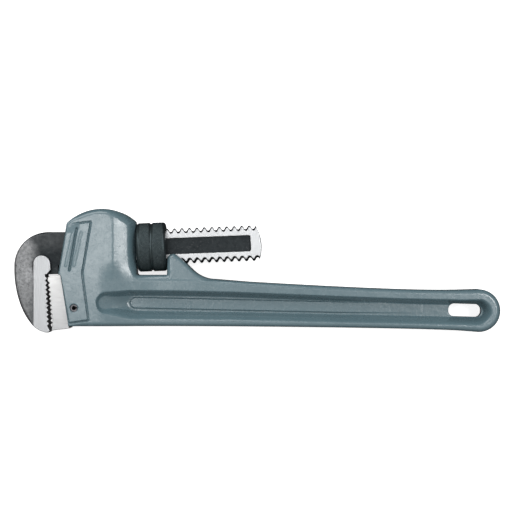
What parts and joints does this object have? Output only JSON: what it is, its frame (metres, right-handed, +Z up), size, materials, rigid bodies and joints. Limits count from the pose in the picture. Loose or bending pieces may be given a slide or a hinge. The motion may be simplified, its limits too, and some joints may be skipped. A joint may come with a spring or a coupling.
{
  "type": "pipe wrench",
  "caption": "Adjustable pipe wrench with a cast I-beam handle, a hook jaw run by a knurled nut, a pinned heel jaw and a hanging slot.",
  "frame": {"origin": "middle of the bounding box's floor face, with the wrench lying on its side", "axes": "+X along the wrench from the jaws to the hanging end, +Y from the handle's underside to the housing's dome, +Z up through the thickness"},
  "size_m": [0.355, 0.0904, 0.038],
  "materials": {
    "enamel": "glossy blue-grey enamel over cast aluminium",
    "ground_steel": "ground bright",
    "forged_steel": "forged, dark scale, satin",
    "black_oxide": "knurled, black oxide",
    "spring_steel": "blued spring steel",
    "spring_wire": "drawn wire",
    "pin_steel": "oiled steel"
  },
  "bodies": {
    "frame": {"handle": "enamel", "heel_jaw": "ground_steel", "heel_jaw_pin": "pin_steel", "coil_spring": "spring_wire"},
    "jaw_carrier": {"flat_spring": "spring_steel", "spring_rivet": "pin_steel"},
    "hook_jaw": {"hook_jaw": "forged_steel"},
    "adjusting_nut": {"adjusting_nut": "black_oxide"}
  },
  "joints": [
    {"name": "jaw_rock", "type": "hinge", "parent": "frame", "child": "jaw_carrier", "pos_m": [-0.0772, 0.0174, 0.019], "axis": [0, 0, 1], "range_deg": [-2.5, 0], "stiffness_Nm_per_rad": 24, "springref_deg": 1.72, "deforming": ["coil_spring"]},
    {"name": "jaw_slide", "type": "slide", "parent": "jaw_carrier", "child": "hook_jaw", "axis": [-0.9993, -0.0384, 0], "range_m": [0, 0.055]},
    {"name": "nut_spin", "type": "hinge", "parent": "jaw_carrier", "child": "adjusting_nut", "pos_m": [-0.0772, 0.0174, 0.019], "axis": [0.9993, 0.0384, 0], "range_deg": [0, 3601]}
  ],
  "couplings": [
    {"joint": "nut_spin", "follows": "jaw_slide", "rad_per_m": 1142.4}
  ]
}
